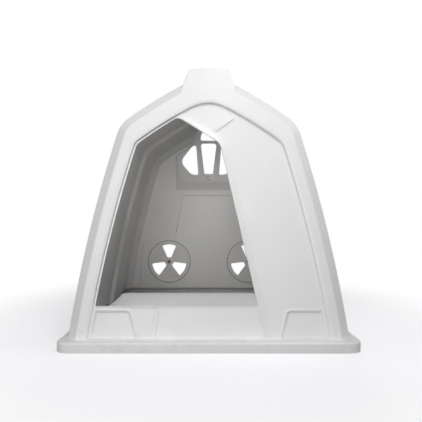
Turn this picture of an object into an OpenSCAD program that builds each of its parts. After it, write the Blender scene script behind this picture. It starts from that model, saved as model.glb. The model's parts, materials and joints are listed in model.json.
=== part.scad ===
// Calf hutch: a one-piece moulded shell that stands on its open base, with a doorway on the
// left of the front wall, two turning vent discs and a pivoting shutter in the rear wall.
// X is across the hutch, -Y is the front, +Z is up. The origin is on the ground, in the middle.

/* [Overall] */
// Length over the base flange
overall_length = 2150; // [1700:10:2600]
// Width over the base flange
overall_width = 1480; // [1200:10:1800]
// Height to the top of the ridge
overall_height = 1400; // [1200:5:1700]
// Thickness of the moulded wall
wall = 5; // [4:0.5:7]

/* [Body section] */
// Ledge between the side wall and the edge of the flange
side_ledge = 34; // [20:1:80]
// Half width at the sharp eaves corner
eaves_half = 452; // [380:1:560]
// Height of the sharp eaves corner
eaves_height = 1125; // [950:1:1300]
// Height at which the two roof curves would meet
roof_peak = 1398; // [1150:1:1690]
// Outward bow of each side wall
side_bow = 23; // [8:1:40]
// Outward bow of each roof slope
roof_bow = 13; // [5:1:25]
// Radius of the eaves
eaves_radius = 150; // [80:1:180]
// Radius of the roof under the ridge
peak_radius = 150; // [80:1:250]

/* [Ridge] */
// Half width of the ridge at its foot
ridge_foot = 132; // [90:1:160]
// Half width of the ridge at its top
ridge_top = 100; // [70:1:130]
// Rise of the crown across the ridge's top
ridge_crown = 8; // [2:1:15]
// Radius of the ridge's top corners
ridge_radius = 18; // [8:1:30]

/* [Hoops] */
// Distance from the middle of the hutch to the middle of each valley between hoops
valley_place = 355; // [300:5:420]
// Flat length of a valley
valley_flat = 320; // [200:5:360]
// Length of the slope from a hoop down to a valley
valley_slope = 40; // [20:1:60]
// Depth of a valley
valley_depth = 28; // [10:1:40]

/* [Base flange] */
// Height of the flange
flange_height = 50; // [35:1:80]
// Ledge between the front or rear wall and the edge of the flange
end_ledge = 65; // [40:1:100]
// Radius of the flange's corners, seen from above
flange_radius = 75; // [40:1:120]

/* [End walls] */
// Backward lean of the front wall, in degrees
front_lean = 3.5; // [0:0.5:6]
// Forward lean of the rear wall, in degrees
rear_lean = 3; // [0:0.5:6]
// How far the bevel round an end wall draws the outline in
bevel_in = 50; // [30:1:60]
// Length of that bevel along the hutch
bevel_long = 60; // [30:1:80]

/* [Front recess] */
// Width of the border left round the recess on the side walls
border = 63; // [50:1:90]
// Extra width of the border on the roof slopes
border_roof = 22; // [0:1:40]
// Depth of the recess
recess_depth = 20; // [10:1:30]
// Width of the recess's sloping edge
recess_slope = 20; // [8:1:30]
// Radius of the recess's eaves corners
recess_eaves_radius = 60; // [30:1:100]
// Radius of the recess's peak
recess_peak_radius = 180; // [90:1:220]
// Depth of the two sunk panels at the foot of the front wall
foot_panel_depth = 10; // [5:1:15]
// Width of a sunk panel at its top
foot_panel_width = 165; // [120:1:200]

/* [Doorway] */
// Height of the sill
sill_height = 210; // [150:5:300]
// Middle of the doorway, from the middle of the hutch
door_middle = -156; // [-180:1:-120]
// Half width of the doorway at the sill, towards the middle of the hutch
door_half_sill = 400; // [340:1:420]
// Half width of the doorway at its eaves corner
door_half_eaves = 214; // [180:1:240]
// Height of the doorway's eaves corner
door_eaves = 1022; // [850:1:1060]
// Height of the doorway's peak
door_peak = 1158; // [1070:1:1180]
// Width of the lip that stands up along the right edge of the doorway
lip_width = 12; // [6:1:20]
// Height of the lip above the recess
lip_height = 14; // [8:1:20]

/* [Vent discs] */
// Radius of a vent disc
disc_radius = 181; // [140:1:200]
// Thickness of a vent disc
disc_thick = 5; // [4:0.5:8]
// Distance of a disc's pivot from the middle of the hutch
disc_place = 333; // [300:1:360]
// Height of a disc's pivot
disc_height = 279; // [250:1:320]
// Outer radius of a disc's openings
slot_outer = 145; // [100:1:160]
// Inner radius of a disc's openings
slot_inner = 40; // [25:1:60]
// Angle across one opening
slot_angle = 47; // [30:1:55]
// Diameter of the pivot bolt
bolt_diameter = 12; // [8:1:16]

/* [Ridge vent] */
// Half width of the vent bay
bay_half = 274; // [250:1:300]
// Height of the foot of the bay's lower slope
bay_foot = 880; // [820:5:900]
// Height of the bay's lower edge
bay_sill = 950; // [930:5:960]
// How far the bay's lower edge stands out behind the rear wall
bay_out = 30; // [15:1:45]
// Height of the shutter's pivot
shutter_height = 984; // [975:1:990]
// Thickness of the shutter
shutter_thick = 5; // [4:0.5:8]
// Diameter of the shutter's bolt
shutter_bolt_diameter = 10; // [8:1:12]
// Diameter of the shutter's hand knob
knob_diameter = 38; // [30:1:50]

/* [Fits] */
// Radial clearance of a turning piece on its bolt
running_clearance = 0.06; // [0.02:0.01:0.1]
// Radial clearance of a bolt in a washer or in the wall
bolt_play = 0.4; // [0.3:0.1:1]
// Gap between a turning piece and the face beside it
face_gap = 0.5; // [0.3:0.1:1.5]

/* [Hidden] */
$fn = 48;

steel = "#7a6048";
plastic = "#ece9e6";
trim = "#dcd8d4";

// ---------------------------------------------------------------- derived sizes
foot_z = 20;
cavity_foot_z = -10;
body_half = overall_width / 2 - side_ledge;
front_foot_y = -overall_length / 2 + end_ledge - flange_height * tan(front_lean);
rear_foot_y = overall_length / 2 - end_ledge + flange_height * tan(rear_lean);
recess_half = body_half - bevel_in - border + recess_slope / 2 - 1;
recess_eaves_half = eaves_half - bevel_in - border + recess_slope + 7;
recess_eaves_z = eaves_height - bevel_in - border + recess_slope - 13;
recess_peak_z = roof_peak - bevel_in - border - border_roof - 24;
bay_top = overall_height - 15;
bay_lean = atan(tan(rear_lean) + bay_out / (bay_top - bay_sill));
bay_foot_y = rear_foot_y - bay_sill * tan(rear_lean) + bay_out + bay_sill * tan(bay_lean);
sunk_rear = 10;
peg_height = 86;
shutter_reach = bay_top - shutter_height;
bolt_head_high = 7.5;
washer_thick = 2.5;
nut_high = 10;
knob_high = 18;

function rear_y(z) = rear_foot_y - z * tan(rear_lean);
function bay_y(z) = bay_foot_y - z * tan(bay_lean);

// ---------------------------------------------------------------- plane geometry
function unit(v) = v / norm(v);
function turn(v) = [v[1], -v[0]];
function direction(v) = atan2(v[1], v[0]);
function polar(c, r, a) = c + r * [cos(a), sin(a)];

// Centre and radius of the arc from a to b that bows out to the right by bow
function arc_radius(a, b, bow) = (norm(b - a) ^ 2 / 4 + bow ^ 2) / (2 * bow);
function arc_centre(a, b, bow) = (a + b) / 2 - unit(turn(b - a)) * (arc_radius(a, b, bow) - bow);

// The crossing of two circles that lies furthest up and to the right
function crossing(c0, r0, c1, r1) =
    let (d = norm(c1 - c0), along = (r0 ^ 2 - r1 ^ 2 + d ^ 2) / (2 * d))
    let (side = sqrt(r0 ^ 2 - along ^ 2), u = (c1 - c0) / d)
    let (p = c0 + along * u + side * turn(u), q = c0 + along * u - side * turn(u))
    p[0] + p[1] > q[0] + q[1] ? p : q;

// Points [x, z, normal x, normal z] along an arc, from angle a0 to a1 in n steps
function arc(c, r, a0, a1, n, first = 0) =
    [for (i = [first:n]) let (a = a0 + (a1 - a0) * i / n) concat(polar(c, r, a), [cos(a), sin(a)])];

// Right half of a pointed arch: bowed side, rounded eaves, bowed roof and rounded peak
function half_arch(foot, eaves, peak_z, bows, radii, steps) =
    let (peak = [0, peak_z])
    let (cs = arc_centre(foot, eaves, bows[0]), rs = arc_radius(foot, eaves, bows[0]))
    let (cr = arc_centre(eaves, peak, bows[1]), rr = arc_radius(eaves, peak, bows[1]))
    let (ce = crossing(cs, rs - radii[0], cr, rr - radii[0]))
    let (cp = [0, cr[1] + sqrt((rr - radii[1]) ^ 2 - cr[0] ^ 2)])
    concat(arc(cs, rs, direction(foot - cs), direction(ce - cs), steps[0]),
           arc(ce, radii[0], direction(ce - cs), direction(ce - cr), steps[1], 1),
           arc(cr, rr, direction(ce - cr), direction(cp - cr), steps[2], 1),
           arc(cp, radii[1], direction(cp - cr), 90, steps[3], 1));

// Whole arch as [x, z] points, drawn in by inset, with its foot brought to foot_z
function arch_ring(half, inset, foot_level) =
    let (right = [for (i = [0:len(half) - 1]) let (p = half[i])
         [p[0] - inset * p[2], i == 0 ? foot_level : p[1] - inset * p[3]]])
    concat(right, [for (i = [len(right) - 2:-1:0]) [-right[i][0], right[i][1]]]);

// A closed outline whose corners are rounded: points are [x, y, radius]
function corner_arc(a, p, b, r, n) =
    let (u = unit(a - p), v = unit(b - p), half = acos(u * v) / 2)
    let (c = p + unit(u + v) * r / sin(half))
    let (a0 = direction(p + u * r / tan(half) - c), a1 = direction(p + v * r / tan(half) - c))
    let (sweep = (a1 - a0 + 540) % 360 - 180)
    [for (i = [0:n]) polar(c, r, a0 + sweep * i / n)];
function rounded(pts, n = 5) =
    let (m = len(pts), flat = [for (p = pts) [p[0], p[1]]])
    [for (i = [0:m - 1]) each pts[i][2] == 0 ? [flat[i]]
        : corner_arc(flat[(i + m - 1) % m], flat[i], flat[(i + 1) % m], pts[i][2], n)];
function mirrored(pts, middle = []) =
    concat(pts, middle, [for (i = [len(pts) - 1:-1:0]) [-pts[i][0], pts[i][1], pts[i][2]]]);

// ---------------------------------------------------------------- lofts
// Solid through rings of the same number of [x, y, z] points
module loft(rings) {
    n = len(rings[0]);
    m = len(rings);
    sides = [for (j = [0:m - 2], i = [0:n - 1], k = [0, 1])
        let (a = j * n + i, b = j * n + (i + 1) % n)
        k == 0 ? [a, b, b + n] : [a, b + n, a + n]];
    front = [for (i = [0:n - 1]) n - 1 - i];
    back = [for (i = [0:n - 1]) (m - 1) * n + i];
    polyhedron([for (r = rings) each r], concat([front], sides, [back]), convexity = 12);
}

// A ring of [x, z] points set at y, leaning so that y grows by lean for each unit of height
function placed(ring, y, lean) = [for (p = ring) [p[0], y + p[1] * lean, p[1]]];

// The hoop stations: [y, depth of the valley there]
function ease(t) = (1 - cos(180 * t)) / 2;
function valley_stations(middle) =
    let (s = valley_slope, h = valley_flat / 2)
    concat([for (t = [0:1 / 3:1.01]) [middle - h - s + s * t, valley_depth * ease(t)]],
           [for (t = [0:1 / 3:1.01]) [middle + h + s * t, valley_depth * ease(1 - t)]]);
// The bevel stations: [distance from the end wall's face, how far the outline is drawn in]
bevel_stations = [[0, bevel_in], [0.1 * bevel_long, 0.84 * bevel_in],
                  [0.8 * bevel_long, 0.14 * bevel_in], [bevel_long, 0.04 * bevel_in],
                  [1.25 * bevel_long, 0]];

body_arch = half_arch([body_half, foot_z], [eaves_half, eaves_height], roof_peak,
                      [side_bow, roof_bow], [eaves_radius, peak_radius], [7, 5, 5, 3]);

module body_loft(thick, foot_level) {
    front = [for (s = bevel_stations)
        placed(arch_ring(body_arch, s[1] + thick, foot_level), front_foot_y + s[0] + thick, tan(front_lean))];
    hoops = [for (s = concat(valley_stations(-valley_place), valley_stations(valley_place)))
        placed(arch_ring(body_arch, s[1] + thick, foot_level), s[0], 0)];
    rear = [for (i = [4:-1:0]) let (s = bevel_stations[i])
        placed(arch_ring(body_arch, s[1] + thick, foot_level), rear_foot_y - s[0] - thick, -tan(rear_lean))];
    loft(concat(front, hoops, rear));
}

// Half outline of the ridge, from the middle of its underside round to its crown
function ridge_outline(thick) =
    let (top = overall_height - thick, low = roof_peak - 140)
    let (flare = (ridge_foot - ridge_top) / 60, drop = overall_height - low)
    rounded(mirrored([[ridge_top + flare * (drop - 20) - thick, low, 0],
                      [ridge_top - thick, top - ridge_crown, ridge_radius - thick],
                      [ridge_top / 2, top - ridge_crown / 4, 0]], [[0, top, 0]]), 3);

module ridge_loft(thick) {
    ring = ridge_outline(thick);
    small = ridge_outline(thick + 6);
    loft([placed(small, front_foot_y + thick, tan(front_lean)),
          placed(ring, front_foot_y + 8 + thick, tan(front_lean)),
          placed(ring, rear_foot_y - 8 - thick, -tan(rear_lean)),
          placed(small, rear_foot_y - thick, -tan(rear_lean))]);
}

// ---------------------------------------------------------------- places on the walls
// Local x and y run across and up the face, and local z points out of the hutch
module on_front() {
    translate([0, front_foot_y, 0]) rotate([90 - front_lean, 0, 0]) children();
}
module on_rear() {
    translate([0, rear_foot_y, 0]) rotate([0, 0, 180]) rotate([90 - rear_lean, 0, 0]) children();
}
module on_bay() {
    translate([0, bay_foot_y, 0]) rotate([0, 0, 180]) rotate([90 - bay_lean, 0, 0]) children();
}
// The pivot of a vent disc, on the outside of the sunk rear wall
module at_disc(side) {
    on_rear() translate([-side * disc_place, disc_height / cos(rear_lean), -sunk_rear]) children();
}
// The pivot of the shutter, on the outside of the vent bay
module at_shutter() {
    on_bay() translate([0, shutter_height / cos(bay_lean), 0]) children();
}

// ---------------------------------------------------------------- outlines on the walls
recess_arch = half_arch([recess_half, foot_z], [recess_eaves_half, recess_eaves_z], recess_peak_z,
                        [side_bow - 3, roof_bow - 1], [recess_eaves_radius, recess_peak_radius],
                        [6, 4, 5, 3]);
recess_foot = flange_height / cos(front_lean);
function recess_outline(inset, foot = recess_foot) = arch_ring(recess_arch, inset, foot);

module doorway_outline() {
    right = [[door_middle + door_half_sill, sill_height, 6],
             [door_middle + door_half_eaves, door_eaves, 70],
             [door_middle, door_peak, 30]];
    intersection() {
        polygon(recess_outline(0));
        polygon(rounded(concat(right, [[-body_half, door_peak - 260, 0], [-body_half, sill_height, 0]])));
    }
}
// The lip follows the doorway's right edge, and stops at the sill
module lip_outline() {
    shift = lip_width / cos(atan2(door_half_sill - door_half_eaves, door_eaves - sill_height));
    rise = lip_width / cos(atan2(door_peak - door_eaves, door_half_eaves));
    polygon(concat(
        rounded([[door_middle + door_half_sill + shift, sill_height, 0],
                 [door_middle + door_half_eaves + shift, door_eaves + rise / 2, 70 + lip_width],
                 [door_middle + 20, door_peak + rise - 14, 0],
                 [door_middle + 20, door_peak - 120, 0],
                 [door_middle + door_half_sill - 60, sill_height, 0]])));
}
function foot_panel_outline(side, grow) =
    let (outer = recess_half - 20, top = sill_height - 25)
    [for (p = rounded([[outer - foot_panel_width - 30 - grow, recess_foot - grow, 0],
                       [outer + 12 + grow, recess_foot - grow, 0],
                       [outer - 14 + grow, top + grow, 0],
                       [outer - foot_panel_width + 4 - grow, top + grow, 20 + grow]]))
        [side * p[0], p[1]]];
rear_panel_foot = flange_height / cos(rear_lean);
// The inner part of the rear wall: the zone of the two vents and the panel between them
rear_panel = mirrored([[body_half - bevel_in - 70, rear_panel_foot, 0],
                       [body_half - bevel_in - 100, 455, 30],
                       [disc_place + 55, 472, 30],
                       [bay_half + 6, 500, 45],
                       [bay_half - 55, bay_foot - 44, 25]]);
function grown(pts, g) = [for (p = pts) [p[0] + sign(p[0]) * g, p[1] + (p[2] > 0 ? g : -g), p[2]]];

module slots(r0, r1, angle, deep) {
    for (k = [0:2]) rotate([0, 0, 90 + 120 * k]) translate([0, 0, -deep])
        linear_extrude(2 * deep)
            polygon(concat([for (i = [-6:6]) polar([0, 0], r1, angle / 2 * i / 6)],
                           [for (i = [3:-1:-3]) polar([0, 0], r0, angle / 2 * i / 3)]));
}

// The four cells of the ridge vent, as outlines up the vent bay
module vent_cells() {
    polygon(rounded([[-37, 1012, 14], [37, 1012, 14], [68, 1270, 20], [-68, 1270, 20]]));
    polygon(rounded([[-70, 1295, 14], [70, 1295, 14], [58, bay_top - 22, 24], [-58, bay_top - 22, 24]]));
    for (side = [-1, 1]) polygon([for (p = rounded([[60, 1011, 14], [150, 1016, 60], [240, 1121, 60],
                                                    [130, 1252, 40], [89, 1256, 14]])) [side * p[0], p[1]]]);
}

// ---------------------------------------------------------------- the moulded shell
module flange_plan(draw_in) {
    w = overall_width / 2 - draw_in;
    l = overall_length / 2 - draw_in;
    r = flange_radius - draw_in;
    square([2 * w, 2 * (l - r)], center = true);
    square([2 * (w - r), 2 * l], center = true);
    for (x = [-1, 1], y = [-1, 1]) translate([x * (w - r), y * (l - r)]) circle(r);
}
module outside() {
    body_loft(0, foot_z);
    ridge_loft(0);
    linear_extrude(flange_height) flange_plan(0);
    bay_block(0);
}
// The bay: an upright slab whose rear face is the vent plane, over a sloping lower face
module bay_block(thick) {
    half = bay_half - thick;
    low = bay_foot + thick / 2;
    sill = bay_sill - thick / 2;
    back = rear_y(bay_foot) - 140;
    top = bay_top - thick - 4;
    intersection() {
        translate([-half, 0, 0]) rotate([90, 0, 90]) linear_extrude(2 * half)
            polygon([[back, low], [rear_y(low) - thick - 0.5, low], [bay_y(sill) - thick, sill],
                     [bay_y(top) - thick, top], [back, top]]);
        rotate([90, 0, 0]) linear_extrude(4 * overall_length, center = true)
            polygon(arch_ring(body_arch, bevel_in + 14 + thick, foot_z));
    }
}
module hollow() {
    difference() {
        union() {
            body_loft(wall, cavity_foot_z);
            ridge_loft(wall);
            bay_block(wall);
        }
        // solid left behind the front recess, its two foot panels and the sunk rear panel
        on_front() recess_block(recess_slope + wall, wall, recess_foot - wall, recess_depth + wall, 0);
        for (side = [-1, 1]) on_front() translate([0, 0, -recess_depth - foot_panel_depth - wall])
            linear_extrude(2 * wall + foot_panel_depth) polygon(foot_panel_outline(side, wall));
        on_rear() translate([0, 0, -sunk_rear - wall]) linear_extrude(sunk_rear + wall)
            polygon(rounded(grown(rear_panel, wall)));
    }
    translate([0, 0, cavity_foot_z]) linear_extrude(flange_height - wall - cavity_foot_z) flange_plan(wall);
}
// A block with the recess's sloping edge: out_face and out_floor widen its two ends
module recess_block(out_face, out_floor, foot, deep, proud) {
    loft([[for (p = recess_outline(-out_face, foot)) [p[0], p[1], proud]],
          [for (p = recess_outline(-out_floor, foot)) [p[0], p[1], -deep]]]);
}
module shell() {
    color(plastic) {
        difference() {
            outside();
            hollow();
            on_front() recess_block(recess_slope, 0, recess_foot, recess_depth, 0.1);
            for (side = [-1, 1]) on_front() translate([0, 0, -recess_depth - foot_panel_depth])
                linear_extrude(foot_panel_depth + 1) polygon(foot_panel_outline(side, 0));
            on_front() translate([0, 0, -100]) linear_extrude(101) doorway_outline();
            for (side = [-1, 1]) on_front() translate([side * (recess_half + recess_slope), peg_height, -3])
                cylinder(h = 4, d = 12);
            on_rear() translate([0, 0, -sunk_rear]) linear_extrude(sunk_rear + 1) polygon(rounded(rear_panel));
            for (side = [-1, 1]) at_disc(side) {
                slots(slot_inner, slot_outer, slot_angle, 20);
                cylinder(h = 60, d = bolt_diameter + 2 * bolt_play, center = true);
            }
            at_shutter() cylinder(h = 60, d = shutter_bolt_diameter, center = true);
            translate([0, rear_foot_y + 60, 0]) rotate([90, 0, 0]) linear_extrude(200) vent_cells();
        }
        door_lip();
        front_ribs();
    }
}
module door_lip() {
    on_front() translate([0, 0, -recess_depth - 1]) linear_extrude(lip_height + 1) difference() {
        lip_outline();
        doorway_outline();
    }
}
module front_ribs() {
    rib = 20;
    on_front() translate([0, 0, -recess_depth - 1]) linear_extrude(6) {
        polygon([[20, 1090], [36, 1077], [135, 1148], [121, 1163]]);
        polygon([[-262, sill_height - 10], [-262 + rib, sill_height - 10],
                 [-284 + rib, recess_foot], [-284, recess_foot]]);
    }
}

// ---------------------------------------------------------------- vent discs and their bolts
inside_face = -wall;
disc_back = inside_face - face_gap - disc_thick;

module vent_disc(side) {
    color(trim) at_disc(side) difference() {
        translate([0, 0, disc_back]) cylinder(h = disc_thick, r = disc_radius, $fn = 96);
        slots(slot_inner, slot_outer, slot_angle, 40);
        cylinder(h = 80, d = bolt_diameter + 2 * running_clearance, center = true);
    }
}
module hex(width, high) {
    cylinder(h = high, d = width / cos(30), $fn = 6);
}
module washer(bore, high) {
    difference() {
        cylinder(h = high, d = 2.4 * bore);
        translate([0, 0, -1]) cylinder(h = high + 2, d = bore + 2 * bolt_play);
    }
}
module vent_bolts() {
    head = disc_back - face_gap - washer_thick;
    color(steel) for (side = [-1, 1]) at_disc(side) {
        translate([0, 0, head - bolt_head_high]) hex(1.5 * bolt_diameter, bolt_head_high);
        translate([0, 0, head - 1]) cylinder(h = 1 - head + washer_thick + nut_high + 5, d = bolt_diameter);
    }
}
module vent_head_washers() {
    color(steel) for (side = [-1, 1]) at_disc(side) translate([0, 0, disc_back - face_gap - washer_thick])
        washer(bolt_diameter, washer_thick);
}
module vent_wall_washers() {
    color(steel) for (side = [-1, 1]) at_disc(side) washer(bolt_diameter, washer_thick);
}
module vent_nuts() {
    color(steel) for (side = [-1, 1]) at_disc(side) translate([0, 0, washer_thick]) difference() {
        hex(1.5 * bolt_diameter, nut_high);
        translate([0, 0, -1]) cylinder(h = nut_high + 2, d = bolt_diameter);
    }
}

// ---------------------------------------------------------------- ridge shutter and its bolt
// The shutter hangs point down at rest. Turned half round it covers the four cells.
shutter_out = face_gap + shutter_thick;
knob_low = -wall - washer_thick - face_gap - knob_high;
module ridge_shutter() {
    half = 262;
    color(trim) at_shutter() difference() {
        rotate([0, 0, 180]) translate([0, 0, face_gap]) linear_extrude(shutter_thick)
            polygon(rounded(mirrored([[60, -36, 30], [half, 20, 40], [half, 190, 60],
                                      [90, shutter_reach, 40]])));
        cylinder(h = 80, d = shutter_bolt_diameter + 2 * running_clearance, center = true);
    }
}
module shutter_bolt() {
    head = shutter_out + face_gap + washer_thick;
    color(steel) at_shutter() {
        translate([0, 0, head]) hex(1.5 * shutter_bolt_diameter, bolt_head_high);
        translate([0, 0, knob_low + 4]) cylinder(h = head + 1 - knob_low - 4, d = shutter_bolt_diameter);
    }
}
module shutter_head_washer() {
    color(steel) at_shutter() translate([0, 0, shutter_out + face_gap])
        washer(shutter_bolt_diameter, washer_thick);
}
module shutter_wall_washer() {
    color(steel) at_shutter() translate([0, 0, -wall - washer_thick])
        washer(shutter_bolt_diameter, washer_thick);
}
module shutter_knob() {
    color(plastic) at_shutter() translate([0, 0, knob_low]) difference() {
        cylinder(h = knob_high, d = knob_diameter);
        for (k = [0:5]) rotate([0, 0, 60 * k]) translate([0.62 * knob_diameter, 0, -1])
            cylinder(h = knob_high + 2, d = 0.36 * knob_diameter);
        translate([0, 0, 3]) cylinder(h = knob_high, d = shutter_bolt_diameter + 2 * running_clearance);
    }
}

// ---------------------------------------------------------------- the assembly
shell();
vent_disc(-1);  // vent_disc_left
vent_disc(1);  // vent_disc_right
vent_bolts();
vent_head_washers();
vent_wall_washers();
vent_nuts();
ridge_shutter();
shutter_bolt();
shutter_head_washer();
shutter_wall_washer();
shutter_knob();
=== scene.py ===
# %% [markdown]
# # A calf hutch in Blender
# A calf hutch is one large moulding of white polyethylene. It stands on its open base and has a
# doorway at the front and adjustable vents in the rear wall. The CAD model holds its true sizes and
# its joints, so the first step loads that model as a fixed frame and measures it.

# %% Load the frame
import json
import math

import bmesh
import bpy
import numpy as np
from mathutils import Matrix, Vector
from mathutils.geometry import delaunay_2d_cdt


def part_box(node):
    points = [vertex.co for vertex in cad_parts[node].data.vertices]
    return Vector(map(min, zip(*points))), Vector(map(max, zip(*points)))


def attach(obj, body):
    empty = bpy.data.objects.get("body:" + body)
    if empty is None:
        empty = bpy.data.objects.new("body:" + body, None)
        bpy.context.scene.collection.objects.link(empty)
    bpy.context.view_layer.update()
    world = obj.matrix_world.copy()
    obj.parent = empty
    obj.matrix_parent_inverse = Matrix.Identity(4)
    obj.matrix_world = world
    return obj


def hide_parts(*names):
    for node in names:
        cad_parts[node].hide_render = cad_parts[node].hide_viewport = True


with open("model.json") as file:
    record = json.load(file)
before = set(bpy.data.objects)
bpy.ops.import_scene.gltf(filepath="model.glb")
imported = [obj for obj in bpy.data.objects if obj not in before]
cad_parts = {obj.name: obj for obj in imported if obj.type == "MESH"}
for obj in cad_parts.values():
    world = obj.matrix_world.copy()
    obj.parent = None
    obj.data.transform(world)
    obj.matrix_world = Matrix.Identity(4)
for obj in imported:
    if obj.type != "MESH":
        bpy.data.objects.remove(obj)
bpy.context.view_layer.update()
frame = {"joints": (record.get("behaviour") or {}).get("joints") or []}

shell_low, shell_high = (np.array(corner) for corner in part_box("shell"))
pivots = {joint["child"]: (np.array(joint["pos_m"]), np.array(joint["axis"])) for joint in frame["joints"]}

# %% [markdown]
# The section of the hutch is a pointed arch: each side wall bows out a little, the eaves are
# rounded, and the roof slopes bow out too. A modeller could draw it with Bezier handles. Here it is
# worked out from a few sizes with circle geometry, because the same outline is needed many times,
# drawn in by different amounts, for the hoops, the bevels and the recess.

# %% Sizes of the moulding, in metres
LENGTH = shell_high[1] - shell_low[1]
WIDTH = shell_high[0] - shell_low[0]
HEIGHT = shell_high[2]
WALL = 0.005
FLANGE = 0.050
LEDGE_END = 0.065
FOOT_Z = FLANGE + 0.014
FRONT_LEAN = math.tan(math.radians(3.5))
REAR_LEAN = math.tan(math.radians(3.0))
FRONT_FOOT_Y = -LENGTH / 2 + LEDGE_END - FLANGE * FRONT_LEAN
REAR_FOOT_Y = LENGTH / 2 - LEDGE_END + FLANGE * REAR_LEAN
BODY = dict(foot=(WIDTH / 2 - 0.034, 0.020), eaves=(0.452, 1.125), peak=1.398,
            bows=(0.023, 0.013), radii=(0.150, 0.150))
RECESS = dict(foot=(0.597, 0.020), eaves=(0.366, 1.019), peak=1.239,
              bows=(0.020, 0.012), radii=(0.060, 0.180))


def front_y(z):
    """The front wall's face: it leans back, so y grows with height."""
    return FRONT_FOOT_Y + z * FRONT_LEAN


def rear_y(z):
    """The rear wall's face: it leans forward, so y shrinks with height."""
    return REAR_FOOT_Y - z * REAR_LEAN


print("front face at the floor", round(front_y(0), 4), "rear face", round(rear_y(0), 4))

# %% Circle geometry for the outlines
def unit(v):
    """The vector divided by its length."""
    return np.asarray(v, float) / np.linalg.norm(v)


def turned(v):
    """The vector turned a quarter turn clockwise."""
    return np.array([v[1], -v[0]])


def heading(v):
    """The angle of a vector from the first axis, in radians."""
    return math.atan2(v[1], v[0])


def bowed_circle(a, b, bow):
    """Centre and radius of the arc from a to b that bows to the right by bow:
    radius is (half chord squared plus bow squared) over twice the bow."""
    a, b = np.array(a, float), np.array(b, float)
    chord = np.linalg.norm(b - a)
    radius = (chord ** 2 / 4 + bow ** 2) / (2 * bow)
    return (a + b) / 2 - unit(turned(b - a)) * (radius - bow), radius


def crossing(c0, r0, c1, r1):
    """The crossing of two circles that lies furthest up and to the right."""
    gap = c1 - c0
    distance = np.linalg.norm(gap)
    along = (r0 ** 2 - r1 ** 2 + distance ** 2) / (2 * distance)
    side = math.sqrt(r0 ** 2 - along ** 2)
    both = [c0 + along * unit(gap) + s * side * turned(unit(gap)) for s in (1, -1)]
    return max(both, key=lambda p: p[0] + p[1])


def line_meets_circle(normal, offset, centre, radius):
    """Where the line normal.p = offset, followed down and to the right, first enters the circle."""
    along = turned(normal)
    start = normal * offset - centre
    b = start @ along
    t = -b - math.sqrt(b * b - (start @ start - radius ** 2))
    return normal * offset + along * t


def arc(centre, radius, a0, a1, steps):
    """Points centre + radius (cos a, sin a) for angles spaced evenly from a0 to a1."""
    a = np.linspace(a0, a1, steps + 1)
    return np.stack([centre[0] + radius * np.cos(a), centre[1] + radius * np.sin(a)], 1)


def foot_angle(centre, radius, z):
    """The angle at which a circle reaches the height z on its right side."""
    return math.asin((z - centre[1]) / radius)


print("side wall radius", round(bowed_circle(BODY["foot"], BODY["eaves"], BODY["bows"][0])[1], 3))

# %% The two families of outlines
def mirrored(half):
    """A right half that ends on the middle line, followed by its reflection."""
    return np.vstack([half, (half * [-1, 1])[-2::-1]])


def arch_circles(shape):
    """Centre and radius of the side wall's circle and of the roof's, then the eaves' centre."""
    side = bowed_circle(shape["foot"], shape["eaves"], shape["bows"][0])
    roof = bowed_circle(shape["eaves"], (0, shape["peak"]), shape["bows"][1])
    re = shape["radii"][0]
    return *side, *roof, crossing(side[0], side[1] - re, roof[0], roof[1] - re)


def arch_sides(shape, inset, roof_end, steps):
    """Side wall, eaves and roof of an arch drawn in by inset, the roof ending opposite roof_end. An
    outline drawn in has the same centres and smaller radii."""
    cs, rs, cr, rr, ce = arch_circles(shape)
    return [arc(cs, rs - inset, foot_angle(cs, rs - inset, FOOT_Z), heading(ce - cs), steps[0]),
            arc(ce, shape["radii"][0] - inset, heading(ce - cs), heading(ce - cr), steps[1])[1:],
            arc(cr, rr - inset, heading(ce - cr), heading(roof_end - cr), steps[2])[1:]]


def arch(shape, inset, steps=(22, 10, 14, 8)):
    """A pointed arch drawn in by inset."""
    _, _, cr, rr, _ = arch_circles(shape)
    rp = shape["radii"][1]
    cp = np.array([0, cr[1] + math.sqrt((rr - rp) ** 2 - cr[0] ** 2)])
    peak = arc(cp, rp - inset, heading(cp - cr), math.pi / 2, steps[3])[1:]
    return mirrored(np.vstack([*arch_sides(shape, inset, cp, steps), peak]))


RIDGE = dict(foot=0.124, top=0.100, crown=0.008, corner=0.018, fillet=0.028)


def body_outline(inset, ridge_inset):
    """The arch with the ridge on it: a concave fillet joins the roof to the ridge's sloping side,
    and a small corner joins that side to the crown, which is an arc across the top."""
    _, _, cr, rr, _ = arch_circles(BODY)
    flare = (RIDGE["foot"] - RIDGE["top"]) / 0.060
    normal = unit([1, flare])
    side = normal @ [RIDGE["top"], HEIGHT - RIDGE["crown"]]
    crown_r = (RIDGE["top"] ** 2 + RIDGE["crown"] ** 2) / (2 * RIDGE["crown"])
    crown_c = np.array([0, HEIGHT - crown_r])
    cc = line_meets_circle(normal, side - RIDGE["corner"], crown_c, crown_r - RIDGE["corner"])
    fr = RIDGE["fillet"]
    cf = line_meets_circle(normal, side - ridge_inset + fr, cr, rr - inset + fr)
    fillet = arc(cf, fr, heading(cr - cf) % (2 * math.pi), math.pi + heading(normal), 7)
    corner = arc(cc, RIDGE["corner"] - ridge_inset, heading(normal), heading(cc - crown_c), 6)
    wall = fillet[-1] + (corner[0] - fillet[-1]) * np.array([[1 / 3], [2 / 3]])
    crown = arc(crown_c, crown_r - ridge_inset, heading(cc - crown_c), math.pi / 2, 5)[1:]
    sides = arch_sides(BODY, inset, cf, (24, 12, 12))
    return mirrored(np.vstack([*sides, fillet[1:], wall, corner, crown]))


print("body outline", len(body_outline(0, 0)), "points, recess outline", len(arch(RECESS, 0)), "points")

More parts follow.
